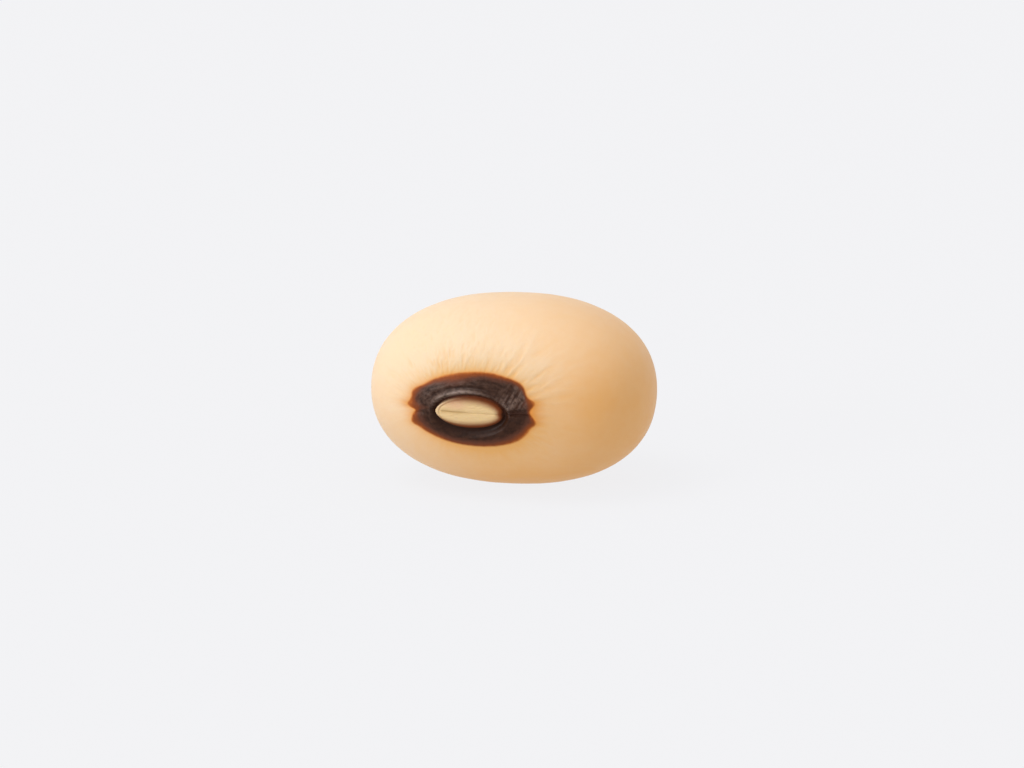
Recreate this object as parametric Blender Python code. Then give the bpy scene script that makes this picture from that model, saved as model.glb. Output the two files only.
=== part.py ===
"""A cowpea seed of the black-eyed kind, lying on its side.

The seed is one grown piece. Its long axis runs along X, the eye with the seed's
scar faces -Y, and the small flat that it rests on lies in the plane Z = 0.
"""

import math

import bmesh
import bpy
from mathutils import Matrix, Vector

MM = 0.001

# The seed as a whole, in millimetres
SEED_LENGTH = 9.0
SEED_WIDTH = 6.8
SEED_THICKNESS = 5.9
REST_DEPTH = 0.04

# The bean form: how square its long ovals and its cross-section are, in powers
# where 2 is a true ellipse, and how far the form leaves a plain egg
LONG_POWER = 2.28
CROSS_POWER = 2.1
BEND = 0.15
BLUNT_END_GAIN = 0.014
EYE_SIDE_FLATTENING = 0.02
EYE_SIDE_REACH = 2.2

# The oval scar where the seed hung in its pod, in millimetres, with the groove
# round it and the lip round the groove, both measured out from the scar's edge
SCAR_OFFSET = -0.79
SCAR_LENGTH = 2.26
SCAR_HEIGHT = 0.9
PAD_RECESS = 0.03
PAD_EDGE_WIDTH = 0.03
GROOVE_DISTANCE = 0.08
GROOVE_WIDTH = 0.06
GROOVE_DEPTH = 0.11
LIP_DISTANCE = 0.21
LIP_WIDTH = 0.1
LIP_HEIGHT = 0.05

# The mesh: points round each ring, and rings from the scar to the back
POINTS_ROUND = 64
RINGS = 40
RING_CROWDING = 2.0

CUTTER_MARGIN = 2.0

SEED_COLOUR = (0.80, 0.56, 0.31, 1.0)
SEED_ROUGHNESS = 0.42
SEED_METALLIC = 0.0


def clear_scene():
    """Remove whatever the scene holds."""
    for obj in list(bpy.data.objects):
        bpy.data.objects.remove(obj, do_unlink=True)


def new_collection(name):
    """Make a collection in the scene."""
    collection = bpy.data.collections.new(name)
    bpy.context.scene.collection.children.link(collection)
    return collection


def seed_coat_material():
    """The cream seed coat, a little waxy."""
    material = bpy.data.materials.new("seed_coat")
    material.use_nodes = True
    shader = material.node_tree.nodes["Principled BSDF"]
    shader.inputs["Base Color"].default_value = SEED_COLOUR
    shader.inputs["Roughness"].default_value = SEED_ROUGHNESS
    shader.inputs["Metallic"].default_value = SEED_METALLIC
    material.diffuse_color = SEED_COLOUR
    return material


def ring_direction(step, around):
    """The direction of a mesh point, seen from the seed's middle.

    step runs from 0 at the scar to 1 at the back. The rings are crowded at the
    scar, where they are long ovals like the scar itself, and open into circles.
    """
    short_angle = math.pi * step ** RING_CROWDING
    scar_angle = SCAR_HEIGHT / SEED_WIDTH
    extra_angle = (SCAR_LENGTH - SCAR_HEIGHT) / SEED_WIDTH
    grown = min(short_angle / scar_angle, 1.0)
    long_angle = short_angle + extra_angle * grown * (1.0 - step ** 2) ** 2
    along = long_angle * math.cos(around)
    up = short_angle * math.sin(around)
    polar = math.hypot(along, up)
    bearing = math.atan2(up, along)
    flat = math.sin(polar)
    direction = Vector((flat * math.cos(bearing), -math.cos(polar), flat * math.sin(bearing)))
    turn = math.atan2(SCAR_OFFSET, SEED_WIDTH / 2)
    return Matrix.Rotation(turn, 3, "Z") @ direction


def bean_point(direction):
    """The point of the smooth bean form that lies in a direction, in millimetres."""
    half_length = SEED_LENGTH / 2
    half_width = SEED_WIDTH / 2
    half_thickness = SEED_THICKNESS / 2
    cross = abs(direction.y / half_width) ** CROSS_POWER
    cross += abs(direction.z / half_thickness) ** CROSS_POWER
    reach = abs(direction.x / half_length) ** LONG_POWER + cross ** (LONG_POWER / CROSS_POWER)
    point = direction * reach ** (-1.0 / LONG_POWER)

    along = point.x / half_length
    blunt = 1.0 + BLUNT_END_GAIN * along
    point.y = point.y * blunt - BEND * along ** 2
    point.z *= blunt

    towards_eye = min(max(-point.y / half_width, 0.0), 1.0)
    near_scar = math.exp(-((point.x - SCAR_OFFSET) / EYE_SIDE_REACH) ** 2)
    point.y *= 1.0 - EYE_SIDE_FLATTENING * near_scar * towards_eye ** 2
    return point


def scar_distance(across, up):
    """The rough distance in millimetres from the scar's oval edge, below zero inside it."""
    long_half = SCAR_LENGTH / 2
    short_half = SCAR_HEIGHT / 2
    level = math.hypot(across / long_half, up / short_half)
    slope = math.hypot(across / long_half ** 2, up / short_half ** 2)
    if slope == 0.0:
        return -short_half
    return (level - 1.0) * level / slope


def band(distance, middle, width):
    """A soft band, 1 at its middle, that fades over its width."""
    return math.exp(-((distance - middle) / width) ** 2)


def scar_relief(across, up):
    """How far the surface stands out at the scar, at its groove and at the lip."""
    distance = scar_distance(across, up)
    inside = 1.0 / (1.0 + math.exp(distance / PAD_EDGE_WIDTH))
    relief = -PAD_RECESS * inside
    relief -= GROOVE_DEPTH * band(distance, GROOVE_DISTANCE, GROOVE_WIDTH)
    relief += LIP_HEIGHT * band(distance, LIP_DISTANCE, LIP_WIDTH)
    return relief


def fit_to_size(mesh):
    """Bring the form to its full size, centred above the origin, with its lowest
    point below the resting plane by as much as the flat will take off."""
    low = Vector([min(vertex.co[axis] for vertex in mesh.verts) for axis in range(3)])
    high = Vector([max(vertex.co[axis] for vertex in mesh.verts) for axis in range(3)])
    size = Vector((SEED_LENGTH, SEED_WIDTH, SEED_THICKNESS + REST_DEPTH))
    for vertex in mesh.verts:
        for axis in range(3):
            share = (vertex.co[axis] - low[axis]) / (high[axis] - low[axis])
            vertex.co[axis] = (share - 0.5) * size[axis]
        vertex.co.z += size.z / 2 - REST_DEPTH


def build_seed(collection):
    """The seed, shaped from a sphere whose pole is turned to the scar."""
    mesh = bmesh.new()
    bmesh.ops.create_uvsphere(mesh, u_segments=POINTS_ROUND, v_segments=RINGS, radius=1.0)
    for vertex in mesh.verts:
        step = math.acos(min(max(vertex.co.z, -1.0), 1.0)) / math.pi
        around = math.atan2(vertex.co.y, vertex.co.x)
        point = bean_point(ring_direction(step, around))
        if point.y < 0.0:
            point.y -= scar_relief(point.x - SCAR_OFFSET, point.z)
        vertex.co = point
    fit_to_size(mesh)
    bmesh.ops.scale(mesh, vec=(MM, MM, MM), verts=mesh.verts)
    bmesh.ops.recalc_face_normals(mesh, faces=mesh.faces)

    data = bpy.data.meshes.new("seed")
    mesh.to_mesh(data)
    mesh.free()
    data.shade_smooth()
    data.materials.append(seed_coat_material())
    seed = bpy.data.objects.new("seed", data)
    collection.objects.link(seed)
    return seed


def build_rest_cutter(collection):
    """A block whose top is the surface that the seed rests on."""
    mesh = bmesh.new()
    bmesh.ops.create_cube(mesh, size=1.0)
    width = (SEED_LENGTH + CUTTER_MARGIN) * MM
    height = CUTTER_MARGIN * MM
    bmesh.ops.scale(mesh, vec=(width, width, height), verts=mesh.verts)
    bmesh.ops.translate(mesh, vec=(0.0, 0.0, -height / 2), verts=mesh.verts)
    data = bpy.data.meshes.new("rest_cutter")
    mesh.to_mesh(data)
    mesh.free()
    cutter = bpy.data.objects.new("rest_cutter", data)
    collection.objects.link(cutter)
    cutter.hide_render = True
    cutter.display_type = "WIRE"
    return cutter


def cut_rest_flat(seed, cutter):
    """Take off the little flat that the seed lies on."""
    cut = seed.modifiers.new("rest_flat", "BOOLEAN")
    cut.operation = "DIFFERENCE"
    cut.solver = "EXACT"
    cut.object = cutter


clear_scene()
seed_collection = new_collection("cowpea_seed")
cutter_collection = new_collection("cutters")
cowpea = build_seed(seed_collection)
cut_rest_flat(cowpea, build_rest_cutter(cutter_collection))
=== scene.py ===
import math

import bpy
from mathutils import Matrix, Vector


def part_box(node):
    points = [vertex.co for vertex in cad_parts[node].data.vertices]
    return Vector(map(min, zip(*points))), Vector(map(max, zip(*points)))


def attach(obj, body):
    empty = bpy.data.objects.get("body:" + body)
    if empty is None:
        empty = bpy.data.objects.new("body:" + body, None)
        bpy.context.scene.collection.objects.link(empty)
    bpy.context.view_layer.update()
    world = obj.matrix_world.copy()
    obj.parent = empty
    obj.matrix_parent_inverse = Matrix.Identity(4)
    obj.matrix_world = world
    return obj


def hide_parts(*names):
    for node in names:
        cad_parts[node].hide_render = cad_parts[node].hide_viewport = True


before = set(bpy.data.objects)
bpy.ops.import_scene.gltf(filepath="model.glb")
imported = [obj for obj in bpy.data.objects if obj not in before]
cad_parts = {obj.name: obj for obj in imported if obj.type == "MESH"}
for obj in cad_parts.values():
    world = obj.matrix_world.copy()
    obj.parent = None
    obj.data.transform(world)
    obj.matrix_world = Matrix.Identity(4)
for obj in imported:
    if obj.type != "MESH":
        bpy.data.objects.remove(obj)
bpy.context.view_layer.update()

# The seed
# One dry cowpea, grown as a single piece. A thin waxy coat covers it, gathered in
# fine folds round the dark eye, and in the eye lies the pale scar where the seed
# hung in its pod. It lies on its side, on the small flat that it touches with.
MM = 0.001
seed_low, seed_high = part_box("seed")
seed_size = [(seed_high[axis] - seed_low[axis]) / MM for axis in range(3)]

# The sizes of the seed and its relief in millimetres, with the powers and shares of the
# bean form, as the inputs of its growth
SEED_SIZES = {
    "Length": seed_size[0],
    "Width": seed_size[1],
    "Thickness": seed_size[2],
    "Rest Depth": 0.04,
    "Long Power": 2.28,
    "Cross Power": 2.1,
    "Bend": 0.15,
    "Blunt End Gain": 0.014,
    "Scar Offset": -0.79,
    "Scar Length": 2.26,
    "Scar Height": 0.9,
    "Groove Depth": 0.14,
    "Lip Height": 0.05,
    "Fold Height": 0.016,
    "Pattern": 3.0,
}
# The block that the seed grows from: points along its sides, how closely the rings
# crowd at the scar, and the angle from the scar where the last ring closes the sides
POINTS_PER_SIDE = 101
RINGS = 141
RING_CROWDING = 1.9
CAP_ANGLE = 2.2
REST_SOFTNESS = 0.03

# The lobes of the stain's edge, and of the dark core inside its rusty border:
# bearing and spread in degrees, reach in millimetres out from the scar
EYE_REACH = 0.662
EYE_LOBES = (
    (-33, 29, 0.25),
    (-12, 4.5, 0.12),
    (3, 5, -0.055),
    (14, 5, 0.18),
    (39, 10, 0.14),
    (59, 25, 0.20),
    (159, 7, 0.11),
    (180, 5.5, 0.14),
    (186, 3.2, -0.17),
    (202, 5, 0.14),
    (212, 9, 0.05),
)
CORE_REACH = 0.515
CORE_LOBES = (
    (-25, 36, 0.20),
    (-11, 4, 0.07),
    (42, 17, 0.29),
    (78, 11, 0.10),
    (111, 10, -0.09),
    (157, 16, 0.08),
    (181, 6, -0.18),
)
EDGE_RAGGED = 0.03
CORE_RAGGED = 0.06
RAGGED_SCALE = 7.0

# The pad's pale face and the bottom of the groove round the pad, as ovals on the scar:
# middle across and up, half length and half height, in millimetres. The pad's flank
# between them counts from 0 to 1, and the face stays level for its first part.
FACE_OVAL = (-0.16, -0.065, 0.89, 0.197)
GROOVE_OVAL = (0.022, -0.093, 1.098, 0.553)
FACE_END = 0.35
FLANK_SOFTNESS = 0.003

# What surrounds the pad, in millimetres out from the bottom of the groove, with the
# bearings and spreads in degrees
WALL_START = 0.01
WALL_WIDTH = 0.10
WALL_FANS = (
    (262, 42, 0.20),
)
LIP_DISTANCE = 0.12
LIP_WIDTH = 0.06
LIP_WANDER = 0.08
LIP_LEAST = 0.0
LIP_FANS = (
    (116, 34, 1.0),
    (190, 20, 0.3),
    (10, 22, 0.3),
    (-25, 12, 0.2),
)
MOAT_DISTANCE = 0.27
MOAT_WIDTH = 0.035
MOAT_DEPTH = 0.04
MOAT_BEARING = (95, 35)
PAD_RECESS = 0.02
RIM_DISTANCE = -0.06
RIM_WIDTH = 0.03
RIM_HEIGHT = 0.02
RIM_BEARING = (168, 26)
RIM_LINE_DISTANCE = -0.115
RIM_LINE_WIDTH = 0.018
RIM_LINE_DEPTH = 0.02
SLIT_PLACE = -0.06
SLIT_HALF_LENGTH = 0.95
SLIT_TAPER = 0.1
SLIT_WIDTH = 0.014
SLIT_DEPTH = 0.01
SLIT_WANDER = 0.05
SLIT_WANDER_SCALE = 2.5
VALLEY_WIDTH = 0.06
VALLEY_DEPTH = 0.012

# The slanted wrinkles between the scar's right end and the stain's upper right edge:
# bearing and spread, slant in degrees, and how many to a millimetre along and across
WRINKLE_BEARING = (30, 14)
WRINKLE_SLANT = 60
WRINKLES_ALONG = 2.0
WRINKLES_ACROSS = 9.0
WRINKLE_HEIGHT = 0.05
WRINKLE_START = (0.1, 0.3)
WRINKLE_END = (-0.2, 0.0)

# Folds at the scar's two ends: bearing and spread in degrees, where each starts
# from the scar and stops from the stain's edge, and its rise, in millimetres
PUCKER_RISE_LENGTH = 0.12
PUCKER_FALL = (-0.15, 0.1)
PUCKERS = (
    (14, 4, 0.08, 0.0, 0.045),
    (24, 5, 0.15, -0.05, 0.02),
    (4, 2.0, 0.05, 0.0, -0.05),
    (-4, 2.2, 0.05, 0.0, -0.06),
    (-12, 4.5, 0.08, 0.0, 0.045),
    (180, 4, 0.3, 0.0, 0.015),
    (190, 2.5, 0.25, 0.0, -0.03),
    (200, 4, 0.3, 0.0, 0.015),
)

# Where the coat is gathered: bearing and spread in degrees, strength, reach added in
# millimetres. The folds start at the stain's edge and fade over their reach.
FOLD_LEAST = 0.12
FOLD_REACH = 0.8
FOLD_START = (-0.12, 0.18)
FOLD_FADE_POWER = 1.5
FOLD_FANS = (
    (22, 12, 0.35, 0.5),
    (48, 16, 0.55, 0.6),
    (90, 26, 0.50, 0.7),
    (122, 22, 0.80, 0.9),
    (160, 25, 0.20, 0.2),
    (205, 20, 0.15, 0.1),
    (-30, 25, 0.35, 0.5),
)
# The folds' pattern: how fast it changes round and along them, its share all round,
# and its extra share where the folds are broad
FOLD_SERIES = (
    (7.0, 0.9, 0.15, 0.5),
    (13.0, 1.4, 0.4, -0.1),
    (24.0, 3.0, 0.4, -0.2),
)
BROAD_FOLDS = (42, 30)
FOLD_CREST_WIDTH = 0.2
FOLD_WANDER = 0.06
FOLD_WANDER_SCALE = 1.2
# Slow waves of the coat: how many to a millimetre, and their height
COAT_WAVES = (
    (0.35, 0.06),
    (1.0, 0.014),
    (3.5, 0.008),
)
WAVES_START = (0.4, 1.2)
# Fine crinkles of the coat above the eye
CRINKLE_BEARING = (112, 34)
CRINKLE_SCALE = 4.5
CRINKLE_REACH = 1.2
CRINKLE_HEIGHT = 0.036
CRINKLE_START = (-0.05, 0.1)
# The stain's own fine skin: streaks along the rings, shorter across them
SKIN_ROUND = 7.0
SKIN_OUT = 10.0
SKIN_HEIGHT = 0.018
SKIN_START = (0.1, 0.3)
SKIN_END = (-0.15, 0.05)


class Amount:
    """A number that varies over the surface, worked out by nodes."""

    def __init__(self, tree, socket):
        self.tree = tree
        self.socket = socket

    def math(self, operation, *others):
        node = self.tree.nodes.new("ShaderNodeMath")
        node.operation = operation
        for value, socket in zip((self, *others), node.inputs):
            plug(self.tree, value, socket)
        return Amount(self.tree, node.outputs[0])

    def __add__(self, other):
        return self.math("ADD", other)

    def __sub__(self, other):
        return self.math("SUBTRACT", other)

    def __mul__(self, other):
        return self.math("MULTIPLY", other)

    def __truediv__(self, other):
        return self.math("DIVIDE", other)

    def __pow__(self, other):
        return self.math("POWER", other)

    def __neg__(self):
        return self.math("MULTIPLY", -1.0)

    def __radd__(self, other):
        return self + other

    def __rmul__(self, other):
        return self * other

    def __rsub__(self, other):
        return -self + other


def plug(tree, value, socket):
    """Feed a node's input with an amount, another node's output or a fixed value."""
    if isinstance(value, Amount):
        tree.links.new(value.socket, socket)
    elif isinstance(value, bpy.types.NodeSocket):
        tree.links.new(value, socket)
    else:
        socket.default_value = value


def ramp(amount, low, high):
    """0 below low, 1 above high, and a smooth rise between."""
    node = amount.tree.nodes.new("ShaderNodeMapRange")
    node.interpolation_type = "SMOOTHSTEP"
    for value, name in ((amount, "Value"), (low, "From Min"), (high, "From Max")):
        plug(amount.tree, value, node.inputs[name])
    return Amount(amount.tree, node.outputs[0])


def bell(amount, middle, width):
    """1 at the middle, fading on both sides over the width."""
    share = (amount - middle) / width
    return (-(share * share)).math("EXPONENT")


def toward(fan, bearing, spread):
    """1 in the direction of a bearing round the scar, fading over the spread, in degrees."""
    turn = math.radians(bearing)
    near = fan[0] * math.cos(turn) + fan[1] * math.sin(turn) - 1.0
    return (near / math.radians(spread) ** 2).math("EXPONENT")


def split(tree, vector):
    """The three amounts of a vector."""
    node = tree.nodes.new("ShaderNodeSeparateXYZ")
    plug(tree, vector, node.inputs[0])
    return [Amount(tree, output) for output in node.outputs]


def joined(tree, x, y, z):
    """A vector made of three amounts."""
    node = tree.nodes.new("ShaderNodeCombineXYZ")
    for value, socket in zip((x, y, z), node.inputs):
        plug(tree, value, socket)
    return node.outputs[0]


def noise(tree, vector, scale, detail=2.0, rough=0.5, pattern=0.0):
    """A cloudy pattern from 0 to 1."""
    node = tree.nodes.new("ShaderNodeTexNoise")
    node.noise_dimensions = "4D"
    values = {"Vector": vector, "W": pattern, "Scale": scale, "Detail": detail, "Roughness": rough}
    for name, value in values.items():
        plug(tree, value, node.inputs[name])
    return Amount(tree, node.outputs[0])


def ring_places(tree, sizes):
    """Lay the points of a plain block out in rings round the scar.

    The block's -Y face becomes the scar, its sides the rings and its +Y face the
    seed's back. Returns the bearing round the scar as a pair, and the angles of
    the ring's short and long half, seen from the seed's middle.
    """
    x, y, z = split(tree, tree.nodes.new("GeometryNodeInputPosition").outputs[0])
    quarter = math.pi / 4
    bearing = (z * quarter).math("TANGENT").math("ARCTAN2", (x * quarter).math("TANGENT"))
    fan = [bearing.math("COSINE"), bearing.math("SINE")]
    out = x.math("ABSOLUTE").math("MAXIMUM", z.math("ABSOLUTE"))
    along = (y + 1.0) * 0.5

    half_width = sizes["Width"] * 0.5
    scar_angle = sizes["Scar Height"] * 0.5 / half_width
    short = scar_angle * out + along ** RING_CROWDING * (CAP_ANGLE - scar_angle)
    short = short + (1.0 - out) * along * (math.pi - CAP_ANGLE + scar_angle)
    stretch = (sizes["Scar Length"] - sizes["Scar Height"]) * 0.5 / half_width
    fade = 1.0 - (short / math.pi) ** 2.0
    long = short + stretch * out * fade * fade
    return fan, short, long


def bean_place(tree, sizes, fan, short, long):
    """The point of the smooth bean form for a place in the rings, in millimetres."""
    along = long * fan[0]
    up = short * fan[1]
    polar = (along * along + up * up).math("SQRT")
    reach = polar.math("SINE") / polar
    x = reach * along
    y = -polar.math("COSINE")
    z = reach * up
    half = [sizes[name] * 0.5 for name in ("Length", "Width", "Thickness")]
    turn = (sizes["Scar Offset"] / half[1]).math("ARCTANGENT")
    turned_x = x * turn.math("COSINE") - y * turn.math("SINE")
    y = x * turn.math("SINE") + y * turn.math("COSINE")
    x = turned_x

    cross = (y / half[1]).math("ABSOLUTE") ** sizes["Cross Power"]
    cross = cross + (z / half[2]).math("ABSOLUTE") ** sizes["Cross Power"]
    level = (x / half[0]).math("ABSOLUTE") ** sizes["Long Power"]
    level = level + cross ** (sizes["Long Power"] / sizes["Cross Power"])
    grow = level ** -(sizes["Long Power"] ** -1.0)
    x = x * grow
    share = x / half[0]
    blunt = share * sizes["Blunt End Gain"] + 1.0
    y = y * grow * blunt - sizes["Bend"] * share * share
    z = z * grow * blunt
    return joined(tree, x, y, z)


def lobed(fan, base, lobes):
    """A value that is larger or smaller towards some bearings round the scar."""
    for bearing, spread, extra in lobes:
        base = toward(fan, bearing, spread) * extra + base
    return base


def fading(amount, reach):
    """1 where an amount is zero or less, fading out over the reach."""
    return (-(amount.math("MAXIMUM", 0.0) / reach)).math("EXPONENT")


def oval_edge(tree, place, oval):
    """Millimetres out from the edge of an oval on the scar, negative inside it."""
    across, up = split(tree, place)[:2]
    middle_across, middle_up, half_length, half_height = oval
    across = (across - middle_across) / half_length
    up = (up - middle_up) / half_height
    level = (across * across + up * up).math("SQRT")
    steep = across / half_length
    steep = steep * steep + (up / half_height) ** 2.0
    return (level - 1.0) * level / steep.math("SQRT")


def pad_flank(tree, place, scar):
    """0 on the pale face of the pad, rising to 1 down its flank to the bottom of the groove."""
    out = oval_edge(tree, place, FACE_OVAL).math("MAXIMUM", 0.0)
    inside = (-scar).math("MAXIMUM", 0.0)
    return out / (out + inside + FLANK_SOFTNESS)


def slit_lines(tree, sizes, place):
    """The fine slit along the pad, and the shallow valley that it lies in."""
    across, up = split(tree, place)[:2]
    wander = noise(tree, place, SLIT_WANDER_SCALE, pattern=sizes["Pattern"]) - 0.5
    beside = up - wander * SLIT_WANDER
    ends = 1.0 - ramp(across.math("ABSOLUTE"), SLIT_HALF_LENGTH - SLIT_TAPER, SLIT_HALF_LENGTH)
    slit = bell(beside, SLIT_PLACE, SLIT_WIDTH) * ends
    valley = bell(beside, SLIT_PLACE, VALLEY_WIDTH) * ends
    return slit, valley


def ring_streaks(tree, fan, distance, detail, pattern):
    """A cloudy pattern drawn out along the rings."""
    place = joined(tree, fan[0] * SKIN_ROUND, fan[1] * SKIN_ROUND, distance * SKIN_OUT)
    return noise(tree, place, 1.0, detail=detail, pattern=pattern)


def scar_relief(fan, scar, face, slit, valley, streaks, sizes):
    """Height of the pad, the groove round it, the lip and the shallow moat outside the lip."""
    wall = ramp(scar, WALL_START, lobed(fan, WALL_WIDTH, WALL_FANS))
    height = (face + wall - 1.0) * sizes["Groove Depth"] - face * PAD_RECESS
    lip = bell(scar + (streaks - 0.5) * LIP_WANDER, LIP_DISTANCE, LIP_WIDTH)
    lip = lip * lobed(fan, LIP_LEAST, LIP_FANS)
    height = height + lip * sizes["Lip Height"]
    moat = bell(scar, MOAT_DISTANCE, MOAT_WIDTH) * toward(fan, *MOAT_BEARING)
    height = height - moat * MOAT_DEPTH
    rim = bell(scar, RIM_DISTANCE, RIM_WIDTH) * RIM_HEIGHT
    rim = rim - bell(scar, RIM_LINE_DISTANCE, RIM_LINE_WIDTH) * RIM_LINE_DEPTH
    height = height + rim * toward(fan, *RIM_BEARING)
    return height - (slit * SLIT_DEPTH + valley * VALLEY_DEPTH) * face


def pucker_relief(fan, distance, edge):
    """Height of the folds that run out from both ends of the scar."""
    height = 0.0
    for bearing, spread, start, finish, rise in PUCKERS:
        length = ramp(distance, start, start + PUCKER_RISE_LENGTH)
        length = length - ramp(edge, finish + PUCKER_FALL[0], finish + PUCKER_FALL[1])
        height = toward(fan, bearing, spread) * length.math("MAXIMUM", 0.0) * rise + height
    return height


def slanted_streaks(tree, place, pattern):
    """A cloudy pattern drawn out along a slant."""
    across, up = split(tree, place)[:2]
    slant = math.radians(WRINKLE_SLANT)
    along = across * math.cos(slant) + up * math.sin(slant)
    beside = up * math.cos(slant) - across * math.sin(slant)
    place = joined(tree, along * WRINKLES_ALONG, beside * WRINKLES_ACROSS, 0.0)
    return noise(tree, place, 1.0, pattern=pattern)


def slanted_wrinkles(tree, sizes, fan, distance, edge, place):
    """Height of the small wrinkles that cross the stain at the scar's right end."""
    cloud = slanted_streaks(tree, place, sizes["Pattern"])
    near = toward(fan, *WRINKLE_BEARING) * ramp(distance, *WRINKLE_START)
    near = near * (1.0 - ramp(edge, *WRINKLE_END))
    return (cloud - 0.5) * near * WRINKLE_HEIGHT


def gathered_folds(tree, sizes, fan, distance, edge):
    """The fine folds of the coat that run out from the eye, from -1 to 1."""
    strength = FOLD_LEAST
    reach = FOLD_REACH
    for bearing, spread, gain, extra in FOLD_FANS:
        near = toward(fan, bearing, spread)
        strength = near * gain + strength
        reach = near * extra + reach
    outside = edge.math("MAXIMUM", 0.0) / reach
    fade = fading(outside ** FOLD_FADE_POWER, 1.0) * ramp(edge, *FOLD_START)
    place = joined(tree, fan[0], fan[1], distance)
    cloud = noise(tree, place, FOLD_WANDER_SCALE, pattern=sizes["Pattern"])
    turn = (cloud - 0.5) * FOLD_WANDER
    across = fan[0] - fan[1] * turn
    up = fan[1] + fan[0] * turn
    broad = toward(fan, *BROAD_FOLDS)
    height = 0.0
    for round_count, along_count, share, broad_share in FOLD_SERIES:
        place = joined(tree, across * round_count, up * round_count, distance * along_count)
        cloud = noise(tree, place, 1.0, detail=1.0, pattern=sizes["Pattern"])
        crest = ramp((cloud - 0.5).math("ABSOLUTE"), 0.0, FOLD_CREST_WIDTH)
        height = (0.5 - crest) * (broad * broad_share + share) * 2.0 + height
    return height * strength * fade


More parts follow.
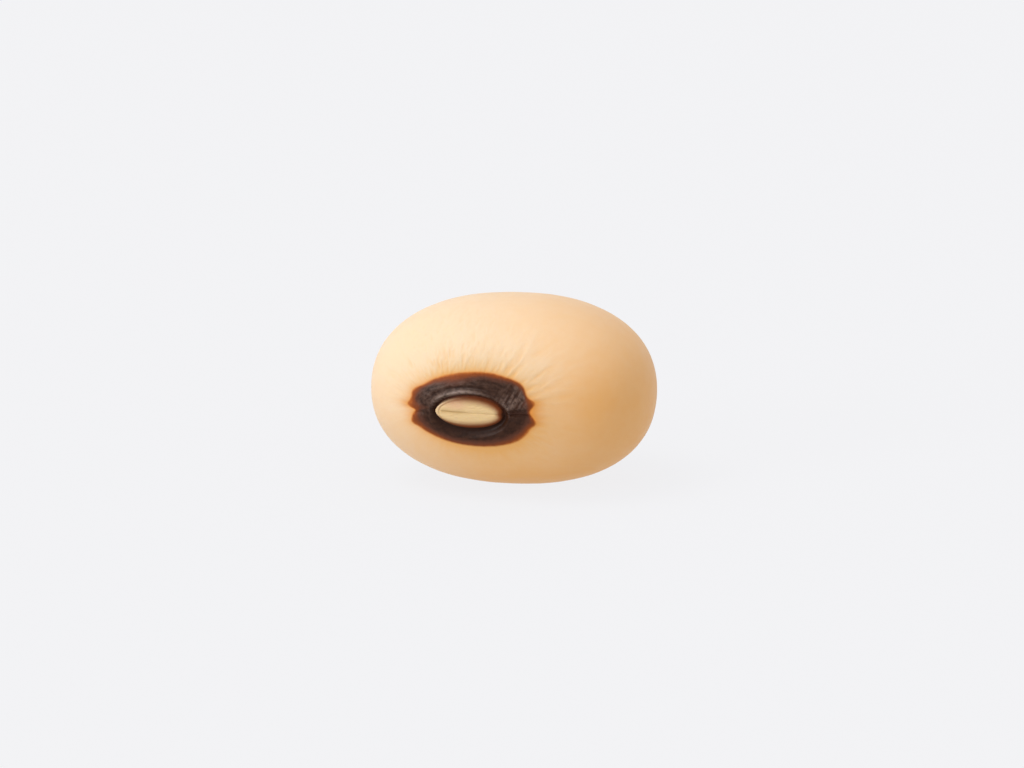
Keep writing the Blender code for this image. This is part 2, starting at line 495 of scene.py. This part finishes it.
def seed_tree(material):
    """The node tree that grows the seed from a plain block."""
    tree = bpy.data.node_groups.new("cowpea_growth", "GeometryNodeTree")
    tree.interface.new_socket("Geometry", in_out="OUTPUT", socket_type="NodeSocketGeometry")
    tree.interface.new_socket("Geometry", in_out="INPUT", socket_type="NodeSocketGeometry")
    for name in SEED_SIZES:
        tree.interface.new_socket(name, in_out="INPUT", socket_type="NodeSocketFloat")
    given = tree.nodes.new("NodeGroupInput")
    sizes = {name: Amount(tree, given.outputs[name]) for name in SEED_SIZES}

    def step(kind, geometry, **inputs):
        """One more node in the chain that the geometry runs through."""
        node = tree.nodes.new(kind)
        for name, value in inputs.items():
            plug(tree, value, node.inputs[name])
        tree.links.new(geometry, node.inputs[0])
        return node.outputs[0]

    def stored(geometry, name, value, kind="FLOAT"):
        """Keep a value on every point under a name."""
        node = tree.nodes.new("GeometryNodeStoreNamedAttribute")
        node.data_type = kind
        node.domain = "POINT"
        node.inputs["Name"].default_value = name
        plug(tree, value, node.inputs["Value"])
        tree.links.new(geometry, node.inputs["Geometry"])
        return node.outputs[0]

    def recalled(name):
        """A vector that was kept on the points."""
        node = tree.nodes.new("GeometryNodeInputNamedAttribute")
        node.data_type = "FLOAT_VECTOR"
        node.inputs["Name"].default_value = name
        return node.outputs["Attribute"]

    block = tree.nodes.new("GeometryNodeMeshCube")
    block.inputs["Size"].default_value = (2.0, 2.0, 2.0)
    block.inputs["Vertices X"].default_value = POINTS_PER_SIDE
    block.inputs["Vertices Y"].default_value = RINGS
    block.inputs["Vertices Z"].default_value = POINTS_PER_SIDE

    fan, short, long = ring_places(tree, sizes)
    half_width = sizes["Width"] * 0.5
    distance = short * half_width - sizes["Scar Height"] * 0.5
    on_scar = joined(tree, long * fan[0] * half_width, short * fan[1] * half_width, 0.0)
    bean = bean_place(tree, sizes, fan, short, long)
    fan_and_distance = joined(tree, fan[0], fan[1], distance)
    geometry = stored(block.outputs[0], "fan", fan_and_distance, "FLOAT_VECTOR")
    geometry = stored(geometry, "on_scar", on_scar, "FLOAT_VECTOR")
    geometry = stored(geometry, "bean", bean, "FLOAT_VECTOR")
    geometry = step("GeometryNodeSetPosition", geometry, Position=recalled("bean"))
    # Split along the shorter diagonals, the faces at the block's former edges stay well shaped
    geometry = step("GeometryNodeTriangulate", geometry)

    box = tree.nodes.new("GeometryNodeBoundBox")
    tree.links.new(geometry, box.inputs[0])
    low = split(tree, box.outputs["Min"])
    high = split(tree, box.outputs["Max"])
    point = split(tree, tree.nodes.new("GeometryNodeInputPosition").outputs[0])
    full = [sizes["Length"], sizes["Width"], sizes["Thickness"] + sizes["Rest Depth"]]
    start = [full[0] * -0.5, full[1] * -0.5, -sizes["Rest Depth"]]
    fitted = [(point[i] - low[i]) / (high[i] - low[i]) * full[i] + start[i] for i in range(3)]
    geometry = step("GeometryNodeSetPosition", geometry, Position=joined(tree, *fitted))

    across, up, distance = split(tree, recalled("fan"))
    fan = [across, up]
    position = tree.nodes.new("GeometryNodeInputPosition").outputs[0]
    ragged = noise(tree, position, RAGGED_SCALE, detail=3.0, pattern=sizes["Pattern"]) - 0.5
    eye_reach = lobed(fan, EYE_REACH, EYE_LOBES)
    core_reach = lobed(fan, CORE_REACH, CORE_LOBES)
    edge = distance - eye_reach + ragged * EDGE_RAGGED
    border = (distance - core_reach + ragged * CORE_RAGGED) / (eye_reach - core_reach)
    scar = oval_edge(tree, recalled("on_scar"), GROOVE_OVAL)
    flank = pad_flank(tree, recalled("on_scar"), scar)
    face = 1.0 - ramp(flank, FACE_END, 1.0)
    slit, valley = slit_lines(tree, sizes, recalled("on_scar"))
    folds = gathered_folds(tree, sizes, fan, distance, edge)
    painted = {"edge": edge, "border": border, "scar": scar, "flank": flank}
    painted.update({"slit": slit, "valley": valley, "folds": folds})
    for name, value in painted.items():
        geometry = stored(geometry, name, value)

    streaks = ring_streaks(tree, fan, distance, 2.0, sizes["Pattern"])
    height = scar_relief(fan, scar, face, slit, valley, streaks, sizes)
    height = height + pucker_relief(fan, distance, edge)
    height = height + slanted_wrinkles(tree, sizes, fan, distance, edge, recalled("on_scar"))
    height = height + folds * sizes["Fold Height"]
    for scale, rise in COAT_WAVES:
        cloud = noise(tree, position, scale, pattern=sizes["Pattern"]) - 0.5
        height = cloud * ramp(distance, *WAVES_START) * rise + height
    crinkled = toward(fan, *CRINKLE_BEARING) * fading(edge, CRINKLE_REACH)
    crinkled = crinkled * ramp(edge, *CRINKLE_START)
    cloud = noise(tree, position, CRINKLE_SCALE, pattern=sizes["Pattern"]) - 0.5
    height = height + cloud * crinkled * CRINKLE_HEIGHT
    in_eye = ramp(scar, *SKIN_START) * (1.0 - ramp(edge, *SKIN_END))
    height = height + (streaks - 0.5) * in_eye * SKIN_HEIGHT
    outwards = tree.nodes.new("ShaderNodeVectorMath")
    outwards.operation = "SCALE"
    tree.links.new(tree.nodes.new("GeometryNodeInputNormal").outputs[0], outwards.inputs[0])
    plug(tree, height, outwards.inputs["Scale"])
    geometry = step("GeometryNodeSetPosition", geometry, Offset=outwards.outputs[0])

    x, y, z = split(tree, tree.nodes.new("GeometryNodeInputPosition").outputs[0])
    z = z.math("SMOOTH_MAX", 0.0, REST_SOFTNESS)
    in_metres = joined(tree, x * MM, y * MM, z * MM)
    geometry = step("GeometryNodeSetPosition", geometry, Position=in_metres)
    geometry = step("GeometryNodeSetShadeSmooth", geometry)
    geometry = step("GeometryNodeRealizeInstances", geometry)
    geometry = step("GeometryNodeSetMaterial", geometry, Material=material)
    tree.links.new(geometry, tree.nodes.new("NodeGroupOutput").inputs[0])
    return tree


def grown_seed(material):
    """Grow the seed and keep the result as a plain mesh."""
    tree = seed_tree(material)
    seed = bpy.data.objects.new("cowpea_seed", bpy.data.meshes.new("cowpea_block"))
    bpy.context.scene.collection.objects.link(seed)
    growth = seed.modifiers.new("growth", "NODES")
    growth.node_group = tree
    for item in tree.interface.items_tree:
        if item.in_out == "INPUT" and item.name in SEED_SIZES:
            growth[item.identifier] = SEED_SIZES[item.name]
    bpy.context.view_layer.update()
    ready = seed.evaluated_get(bpy.context.evaluated_depsgraph_get())
    mesh = bpy.data.meshes.new_from_object(ready)
    seed.modifiers.remove(growth)
    seed.data = mesh
    mesh.name = "cowpea_seed"
    return seed


def tint(red, green, blue):
    """A display colour, 0 to 255, as the linear colour that a shader takes."""
    linear = []
    for value in (red, green, blue):
        share = value / 255.0
        linear.append(share / 12.92 if share < 0.04045 else ((share + 0.055) / 1.055) ** 2.4)
    return (*linear, 1.0)


def covered(share, under, over):
    """The under colour, covered by the over colour by the given share."""
    node = share.tree.nodes.new("ShaderNodeMix")
    node.data_type = "RGBA"
    plug(share.tree, share, node.inputs[0])
    plug(share.tree, under, node.inputs[6])
    plug(share.tree, over, node.inputs[7])
    return node.outputs[2]


CREAM = tint(218, 192, 160)
TAN = tint(216, 161, 96)
DUSK = tint(125, 138, 96)
OCHRE = tint(202, 132, 56)
AMBER = tint(190, 108, 44)
RUST = tint(124, 60, 22)
BARK = tint(84, 48, 34)
UMBER = tint(56, 33, 22)
# The stain's darkest brown, also used as the moat's painted shade
SOOT_AND_SHADE = tint(42, 23, 14)
# Painted sheen: the greyish highlight laid on the stain
SHEEN_GREY = tint(100, 80, 70)
# Painted sheen: the grey highlight laid on the lip round the groove
LIP_SHEEN = tint(134, 116, 106)
# Painted shade: the dark brown laid along the crease at the scar's right end
CREASE_SHADE = tint(56, 30, 20)
# Painted shade: the near-black and the reddish dark laid in the groove round the pad, over the
# stain's own dark brown
PITCH_SHADE = tint(36, 17, 8)
PITCH_RED_SHADE = tint(84, 38, 16)
PAD_STRAW = tint(206, 177, 130)
PAD_PINK = tint(202, 163, 127)
PAD_RIM = tint(212, 180, 143)
PAD_BROWN = tint(112, 56, 26)
SLIT_OLIVE = tint(140, 104, 48)

# How tan the cream coat is, from 0 to 1: its level at the middle, the change with each millimetre
# to the right and upwards, and the shares of the clouds, mottling and rays. The tan that grows to
# the right and downwards, away from the lamps, is partly the coat's own tone and partly painted
# shade.
TAN_LEVEL = 0.53
TAN_RIGHTWARDS = 0.062
TAN_UPWARDS = -0.066
MIDDLE_HEIGHT = 3.0
TAN_CLOUDS = 0.15
CLOUD_SCALE = 0.35
TAN_MOTTLE = 0.25
MOTTLE_SCALE = 2.2
TAN_RAYS = 0.2
RAYS_ROUND = 12.0
RAYS_OUT = 0.4
RAYS_END = (-3.0, -0.5)
# Painted shade and light on the folds: tanner in their hollows, paler on their crests
FOLD_SHADING = 0.25

# Broad patches of the coat that are more tan or more cream: middle and width along X, middle and
# width in height, in millimetres, and how much more tan. They are fainter on the back. The tan
# patch low down is painted shade along the underside, and the cream patch high up is partly
# painted light where the lamps fall.
TAN_AND_SHADE_PATCHES = (
    (2.9, 1.3, 3.3, 1.1, 0.30),
    (-0.8, 3.0, 3.5, 2.0, -0.60),
    (0.8, 3.0, 0.0, 1.0, 0.50),
)
BACK_PATCHES = 0.4
BACK_START = (-2.5, 0.5)

# Tints of the coat next to the stain: reach in millimetres, share, and its change
# towards some bearings, each with a spread in degrees
EYE_TAN_REACH = 0.45
EYE_TAN = 0.95
EYE_TAN_LOBES = (
    (0, 25, -0.35),
    (175, 35, -0.5),
    (120, 25, 0.4),
)
# Near the stain the coat turns darker and greyer, most above it and least at its lower left
DUSK_REACH = 0.6
DUSK_SHARE = 0.13
DUSK_LOBES = (
    (205, 45, -0.13),
    (108, 45, 0.12),
)
NOTCHES = (
    (2, 11, 0.65),
    (170, 30, 0.2),
    (183, 9, 0.3),
)
OCHRE_REACH = 0.09
OCHRE_NOTCH_REACH = 0.36
OCHRE_FADE_POWER = 1.5
OCHRE_SHARE = 0.35
OCHRE_LOBES = (
    (268, 40, -0.22),
)

# Where the stain's colours change between its dark core, 0, and its edge, 1
STAIN_MOTTLE = 0.5
BARK_SPAN = (-0.9, 0.2)
SHEEN_END = (-0.2, 0.4)
RUST_SPAN = (-0.1, 0.7)
AMBER_SPAN = (0.6, 1.25)
RUST_LOBES = (
    (272, 34, -0.6),
    (35, 16, -0.35),
)
STAIN_EDGE = (-0.06, 0.03)
SOOT_STREAKS = (0.35, 0.65)
# Where the stain carries its painted sheen, at its upper left and along the slanted wrinkles
SHEEN_BEARING = (130, 34)
SHEEN_SHARE = 0.6
SHEEN_STREAKS = (0.35, 0.75)
SLANTED_SHEEN_BEARING = (26, 14)
SLANTED_SHEEN_SHARE = 0.9
SLANTED_SHEEN_STREAKS = (0.35, 0.6)
THIN_STREAKS = (0.2, 0.6)
# Where the painted shade lies along the crease
CREASE_BEARING = (0, 4.5)
CREASE_START = (0.08, 0.16)
CREASE_SHADE_SHARE = 0.7
# Bearings where the lip carries its painted sheen
LIP_SHEEN_FANS = (
    (115, 24, 1.0),
    (20, 12, 0.3),
)
# How much painted shade darkens the moat
MOAT_SHADE = 0.5
# Where the groove's painted shade reaches, wider at the bottom
PITCH_REACH = 0.06
PITCH_LOBES = (
    (265, 40, 0.20),
)
PITCH_RED_BEARING = (80, 40)

# The pad: fibres to a millimetre along and across it, its pink upper left part, the
# olive left half of its slit, and where its brown and its pale part end on the flank
FIBRES_ALONG = 5.0
FIBRES_ACROSS = 16.0
FIBRE_PINK = 1.2
PINK_PLACE = (-0.45, 0.35)
PINK_HEIGHT = (-0.05, 0.12)
PINK_SHARE = 0.9
OLIVE_START = (-0.1, 0.4)
OLIVE_SHARE = 0.4
SLIT_SHARE = 0.25
RIM_LINE_SHARE = 0.5
GROOVE_EDGE = (-0.01, 0.02)
BROWN_END = 0.9
BROWN_FADE = 0.25
BROWN_LOBES = (
    (75, 40, 0.15),
    (-20, 30, -0.15),
)
PALE_END = 0.88
PALE_LOBES = (
    (0, 35, -0.3),
    (150, 28, 0.22),
    (-80, 40, -0.2),
)

# How the coat takes the light: it is waxy, smoother in the eye and dull on the pad
COAT_ROUGHNESS = 0.42
ROUGHNESS_MOTTLE = 0.1
EYE_SMOOTHNESS = 0.06
EYE_START = (0.0, 0.1)
PAD_DULLNESS = 0.35
PAD_START = (0.0, 0.05)
COAT_SHINE = 0.1
FLESH_SHARE = 0.1
FLESH_RADIUS = (1.0, 0.7, 0.3)
FLESH_DEPTH = 0.25 * MM
PORE_SCALE = 14.0
PAD_GRAIN = 0.03
EYE_PORES = 0.006
COAT_PORES = 0.004


def coat_colour(tree, place, fan, distance, edge, folds, mottle):
    """Cream coat, more tan to the right, low down and near the eye, tinged at the stain; the tan
    to the right and low down is partly painted shade, and the folds carry painted shade in their
    hollows.
    """
    x, y, z = split(tree, place)
    clouds = noise(tree, place, CLOUD_SCALE, pattern=1.0)
    ray_place = joined(tree, fan[0] * RAYS_ROUND, fan[1] * RAYS_ROUND, distance * RAYS_OUT)
    rays = noise(tree, ray_place, 1.0, pattern=4.0)
    # Partly painted shade: tanner to the right and low down, away from the lamps
    tan_and_shade = x * TAN_RIGHTWARDS + (z - MIDDLE_HEIGHT) * TAN_UPWARDS + TAN_LEVEL
    tan_and_shade = tan_and_shade + (clouds - 0.5) * TAN_CLOUDS + (mottle - 0.5) * TAN_MOTTLE
    # Painted shade in the folds' hollows and paler crests
    tan_and_shade = tan_and_shade + (rays - 0.5) * TAN_RAYS * ramp(-distance, *RAYS_END) - folds * FOLD_SHADING
    tan_and_shade = tan_and_shade + fading(edge, EYE_TAN_REACH) * lobed(fan, EYE_TAN, EYE_TAN_LOBES)
    front = ramp(-y, *BACK_START) * (1.0 - BACK_PATCHES) + BACK_PATCHES
    # Broad patches, the low one painted shade along the underside
    for middle_x, width_x, middle_z, width_z, gain in TAN_AND_SHADE_PATCHES:
        tan_and_shade = tan_and_shade + bell(x, middle_x, width_x) * bell(z, middle_z, width_z) * front * gain
    coat = covered(tan_and_shade, CREAM, TAN)

    dusky = fading(edge, DUSK_REACH) * lobed(fan, DUSK_SHARE, DUSK_LOBES)
    coat = covered(dusky, coat, DUSK)
    notches = lobed(fan, 0.0, NOTCHES)
    outside = edge.math("MAXIMUM", 0.0) / (notches * OCHRE_NOTCH_REACH + OCHRE_REACH)
    halo = fading(outside ** OCHRE_FADE_POWER, 1.0)
    return covered(halo * (notches + lobed(fan, OCHRE_SHARE, OCHRE_LOBES)), coat, OCHRE)


def stain_colour(tree, fan, distance, border, streaks, slanted):
    """Dark mottled stain with a painted greyish sheen, painted shade along a crease and a rusty
    border.
    """
    soaked = border + (streaks - 0.5) * STAIN_MOTTLE
    stain = covered(ramp(streaks, *SOOT_STREAKS), SOOT_AND_SHADE, UMBER)
    stain = covered(ramp(soaked, *BARK_SPAN), stain, BARK)
    # Painted sheen on the stain's upper left and on its slanted wrinkles
    sheen = toward(fan, *SHEEN_BEARING) * SHEEN_SHARE * ramp(streaks, *SHEEN_STREAKS)
    slanted = ramp(slanted, *SLANTED_SHEEN_STREAKS) * ramp(streaks, *THIN_STREAKS)
    sheen = sheen + toward(fan, *SLANTED_SHEEN_BEARING) * SLANTED_SHEEN_SHARE * slanted
    stain = covered(sheen * (1.0 - ramp(soaked, *SHEEN_END)), stain, SHEEN_GREY)
    # Painted shade along the crease between the folds at the scar's right end
    crease_shade = toward(fan, *CREASE_BEARING) * ramp(distance, *CREASE_START)
    stain = covered(crease_shade * CREASE_SHADE_SHARE, stain, CREASE_SHADE)
    rusty = lobed(fan, 1.0, RUST_LOBES)
    stain = covered(ramp(soaked, *RUST_SPAN) * rusty, stain, RUST)
    return covered(ramp(soaked, *AMBER_SPAN) * rusty, stain, AMBER)


def groove_colour(fan, scar, streaks, coat):
    """The painted sheen on the lip, the moat outside it darkened by painted shade, and the
    pitch-dark groove, partly the stain's own dark brown and partly painted shade, laid on the
    coat.
    """
    # Painted sheen on the lip's crest
    lip_sheen = bell(scar, LIP_DISTANCE, LIP_WIDTH) * lobed(fan, 0.0, LIP_SHEEN_FANS)
    coat = covered(lip_sheen * ramp(streaks, *THIN_STREAKS), coat, LIP_SHEEN)
    # Painted shade in the moat outside the lip, in the stain's darkest brown
    in_moat = bell(scar, MOAT_DISTANCE, MOAT_WIDTH) * toward(fan, *MOAT_BEARING)
    coat = covered(in_moat * MOAT_SHADE, coat, SOOT_AND_SHADE)
    # Painted shade in the groove round the pad, reddish at the top
    reach = lobed(fan, PITCH_REACH, PITCH_LOBES)
    groove_shade = covered(toward(fan, *PITCH_RED_BEARING), PITCH_SHADE, PITCH_RED_SHADE)
    return covered(ramp(-scar, -reach, 0.0), coat, groove_shade)


def pad_colour(fan, across, up, scar, flank, slit, valley, fibres, coat):
    """The straw pad with its pink part, its slit and its brown flank, laid on the coat. The
    flank's brown is partly its own colour and partly painted shade where it drops into the groove.
    """
    pink = bell(across, *PINK_PLACE) * ramp(up, *PINK_HEIGHT) * PINK_SHARE
    pad = covered(pink + (fibres - 0.5) * FIBRE_PINK, PAD_STRAW, PAD_PINK)
    olive = ramp(-across, *OLIVE_START) * valley * OLIVE_SHARE
    pad = covered(slit * SLIT_SHARE + olive, pad, SLIT_OLIVE)
    rim_line = bell(scar, RIM_LINE_DISTANCE, RIM_LINE_WIDTH) * toward(fan, *RIM_BEARING)
    pad = covered(rim_line * RIM_LINE_SHARE, pad, PAD_BROWN)

    inside = ramp(-scar, *GROOVE_EDGE)
    # The brown flank: partly the pad's own colour, partly painted shade down the flank into the
    # groove
    brown_end = lobed(fan, BROWN_END, BROWN_LOBES)
    brown = 1.0 - ramp(flank, brown_end - BROWN_FADE, brown_end)
    coat = covered(brown * inside, coat, PAD_BROWN)
    pale = 1.0 - ramp(flank, 0.0, lobed(fan, PALE_END, PALE_LOBES))
    coat = covered(pale * inside, coat, pad)
    rim = bell(scar, RIM_DISTANCE, RIM_WIDTH) * toward(fan, *RIM_BEARING)
    return covered(rim, coat, PAD_RIM)


def coat_material():
    """Waxy cream coat, umber stain with a rusty border, and the pale corky pad of the scar."""
    material = bpy.data.materials.new("cowpea_coat")
    material.use_nodes = True
    tree = material.node_tree
    shader = tree.nodes["Principled BSDF"]

    def kept(name):
        """The values that the growth tree kept on the points under a name."""
        node = tree.nodes.new("ShaderNodeAttribute")
        node.attribute_name = name
        return node

    place = tree.nodes.new("ShaderNodeVectorMath")
    place.operation = "SCALE"
    place.inputs["Scale"].default_value = 1.0 / MM
    tree.links.new(tree.nodes.new("ShaderNodeTexCoord").outputs["Object"], place.inputs[0])
    place = place.outputs[0]
    on_scar = kept("on_scar").outputs["Vector"]
    across, up = split(tree, on_scar)[:2]
    fan_across, fan_up, distance = split(tree, kept("fan").outputs["Vector"])
    fan = [fan_across, fan_up]
    names = ("edge", "border", "scar", "flank", "slit", "valley", "folds")
    amounts = [Amount(tree, kept(name).outputs["Fac"]) for name in names]
    edge, border, scar, flank, slit, valley, folds = amounts

    mottle = noise(tree, place, MOTTLE_SCALE, detail=4.0, rough=0.6, pattern=2.0)
    streaks = ring_streaks(tree, fan, distance, 4.0, 5.0)
    slanted = slanted_streaks(tree, on_scar, SEED_SIZES["Pattern"])
    fibre_place = joined(tree, across * FIBRES_ALONG, up * FIBRES_ACROSS, 0.0)
    fibres = noise(tree, fibre_place, 1.0, detail=3.0, pattern=6.0)
    pores = noise(tree, place, PORE_SCALE, detail=3.0, pattern=7.0)

    coat = coat_colour(tree, place, fan, distance, edge, folds, mottle)
    stain = stain_colour(tree, fan, distance, border, streaks, slanted)
    coat = covered(ramp(-edge, *STAIN_EDGE), coat, stain)
    coat = groove_colour(fan, scar, streaks, coat)
    coat = pad_colour(fan, across, up, scar, flank, slit, valley, fibres, coat)
    tree.links.new(coat, shader.inputs["Base Color"])

    on_pad = ramp(-scar, *PAD_START)
    in_eye = ramp(-edge, *EYE_START)
    rough = COAT_ROUGHNESS + (mottle - 0.5) * ROUGHNESS_MOTTLE
    plug(tree, rough - in_eye * EYE_SMOOTHNESS + on_pad * PAD_DULLNESS, shader.inputs["Roughness"])
    shader.inputs["Specular IOR Level"].default_value = COAT_SHINE
    shader.inputs["Subsurface Weight"].default_value = FLESH_SHARE
    shader.inputs["Subsurface Radius"].default_value = FLESH_RADIUS
    shader.inputs["Subsurface Scale"].default_value = FLESH_DEPTH

    grain = (fibres - 0.5) * on_pad * PAD_GRAIN
    grain = grain + (pores - 0.5) * (in_eye * EYE_PORES + COAT_PORES)
    bump = tree.nodes.new("ShaderNodeBump")
    bump.inputs["Distance"].default_value = MM
    plug(tree, grain, bump.inputs["Height"])
    tree.links.new(bump.outputs[0], shader.inputs["Normal"])
    return material


seed = grown_seed(coat_material())
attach(seed, "root")
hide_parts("seed")

# The ground
# A pale table, lit mostly from inside, so that the seed's shadow on it stays faint.
PALE = (0.896, 0.896, 0.913, 1.0)
GROUND_WIDTH = 1.2
GROUND_GAP = 0.01 * MM
GROUND_DIFFUSE = (0.05, 0.05, 0.051, 1.0)
GROUND_GLOW = 0.922

ground_mesh = bpy.data.meshes.new("ground")
half = GROUND_WIDTH / 2
corners = [(-half, -half), (half, -half), (half, half), (-half, half)]
ground_mesh.from_pydata([(x, y, -GROUND_GAP) for x, y in corners], [], [(0, 1, 2, 3)])
ground = bpy.data.objects.new("ground", ground_mesh)
bpy.context.scene.collection.objects.link(ground)
ground_material = bpy.data.materials.new("pale_ground")
ground_material.use_nodes = True
ground_shader = ground_material.node_tree.nodes["Principled BSDF"]
ground_shader.inputs["Base Color"].default_value = GROUND_DIFFUSE
ground_shader.inputs["Roughness"].default_value = 1.0
ground_shader.inputs["Specular IOR Level"].default_value = 0.0
ground_shader.inputs["Emission Color"].default_value = PALE
ground_shader.inputs["Emission Strength"].default_value = GROUND_GLOW
ground_mesh.materials.append(ground_material)

# The light
# A pale room all round, one broad soft lamp high above the seed, and a second one
# low at its front left.
# Each lamp's name, direction from the seed, width in metres and power in watts
LAMP_DISTANCE = 1.0
LAMPS = (
    ("high_lamp", Vector((-0.40, -0.20, 0.90)), 0.6, 4.3),
    ("side_lamp", Vector((-0.67, -0.70, 0.26)), 0.4, 3.7),
)

room = bpy.data.worlds.new("pale_room")
room.use_nodes = True
room.node_tree.nodes["Background"].inputs["Color"].default_value = PALE
bpy.context.scene.world = room

for name, direction, width, power in LAMPS:
    lamp_data = bpy.data.lights.new(name, "AREA")
    lamp_data.shape = "DISK"
    lamp_data.size = width
    lamp_data.energy = power
    lamp = bpy.data.objects.new(name, lamp_data)
    lamp.location = direction.normalized() * LAMP_DISTANCE
    lamp.rotation_euler = direction.to_track_quat("Z", "Y").to_euler()
    bpy.context.scene.collection.objects.link(lamp)
bpy.context.scene.view_settings.view_transform = "Standard"

# The camera
# It looks at the eye from a little to the right and a little above, from far enough
# away that the seed shows hardly any perspective.
CAMERA_TURN = math.radians(11.0)
CAMERA_RISE = math.radians(13.6)
CAMERA_AIM = Vector((-0.095, 0.007, 3.035)) * MM
VIEW_WIDTH = 32.256 * MM
LENS = 200.0
SENSOR = 36.0

camera_data = bpy.data.cameras.new("camera")
camera_data.lens = LENS
camera_data.sensor_width = SENSOR
camera_data.clip_start = MM
camera = bpy.data.objects.new("camera", camera_data)
back = Vector((
    math.sin(CAMERA_TURN) * math.cos(CAMERA_RISE),
    -math.cos(CAMERA_TURN) * math.cos(CAMERA_RISE),
    math.sin(CAMERA_RISE),
))
camera.location = CAMERA_AIM + back * (VIEW_WIDTH * LENS / SENSOR)
camera.rotation_euler = back.to_track_quat("Z", "Y").to_euler()
bpy.context.scene.collection.objects.link(camera)
bpy.context.scene.camera = camera
